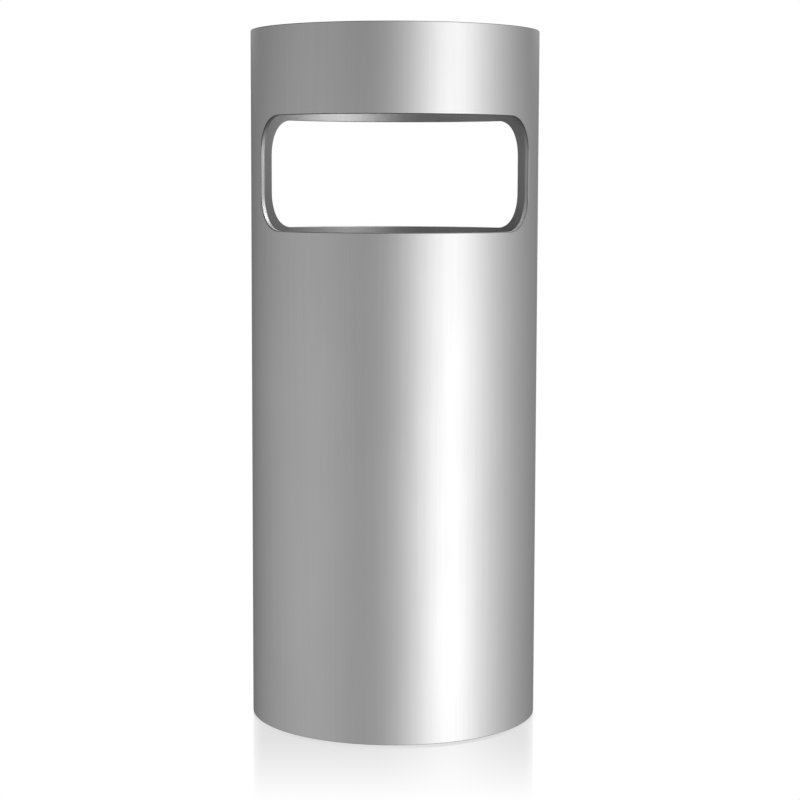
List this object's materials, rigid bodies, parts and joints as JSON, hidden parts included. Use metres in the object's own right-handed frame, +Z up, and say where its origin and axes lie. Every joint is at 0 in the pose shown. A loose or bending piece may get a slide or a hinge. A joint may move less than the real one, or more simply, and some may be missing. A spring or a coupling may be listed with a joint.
{
  "type": "umbrella stand",
  "caption": "Open-topped round metal umbrella stand with a rounded grip window through front and back, weighted base, rubber feet and a lift-out drip tray.",
  "frame": {"origin": "on the floor, at the middle of the tube", "axes": "+Z up along the tube, -Y towards the front grip window, +X to the right seen from the front"},
  "size_m": [0.21, 0.21, 0.503],
  "materials": {
    "brushed_aluminium": "satin, finely brushed along the tube",
    "zinc_steel": "zinc plated, dull",
    "screw_steel": "bright machined",
    "cast_iron": "black painted casting",
    "foot_rubber": "matt moulded rubber",
    "tray_plastic": "fine moulded grain",
    "mat_rubber": "matt moulded rubber"
  },
  "bodies": {
    "stand": {"outer_tube": "brushed_aluminium", "base_plate": "zinc_steel", "ballast_disc": "cast_iron", "ballast_bolt": "screw_steel", "base_lug_1": "zinc_steel", "base_lug_2": "zinc_steel", "base_lug_3": "zinc_steel", "base_lug_4": "zinc_steel", "lug_screw_1": "screw_steel", "lug_screw_2": "screw_steel", "lug_screw_3": "screw_steel", "lug_screw_4": "screw_steel", "rubber_foot_1": "foot_rubber", "rubber_foot_2": "foot_rubber", "rubber_foot_3": "foot_rubber", "rubber_foot_4": "foot_rubber", "foot_screw_1": "screw_steel", "foot_screw_2": "screw_steel", "foot_screw_3": "screw_steel", "foot_screw_4": "screw_steel"},
    "tray": {"drip_tray": "tray_plastic"},
    "mat": {"tip_mat": "mat_rubber"}
  },
  "joints": [
    {"name": "tray_lift", "type": "slide", "parent": "stand", "child": "tray", "axis": [0, 0, 1], "range_m": [0, 0.49]},
    {"name": "mat_lift", "type": "slide", "parent": "tray", "child": "mat", "axis": [0, 0, 1], "range_m": [0, 0.49]}
  ]
}
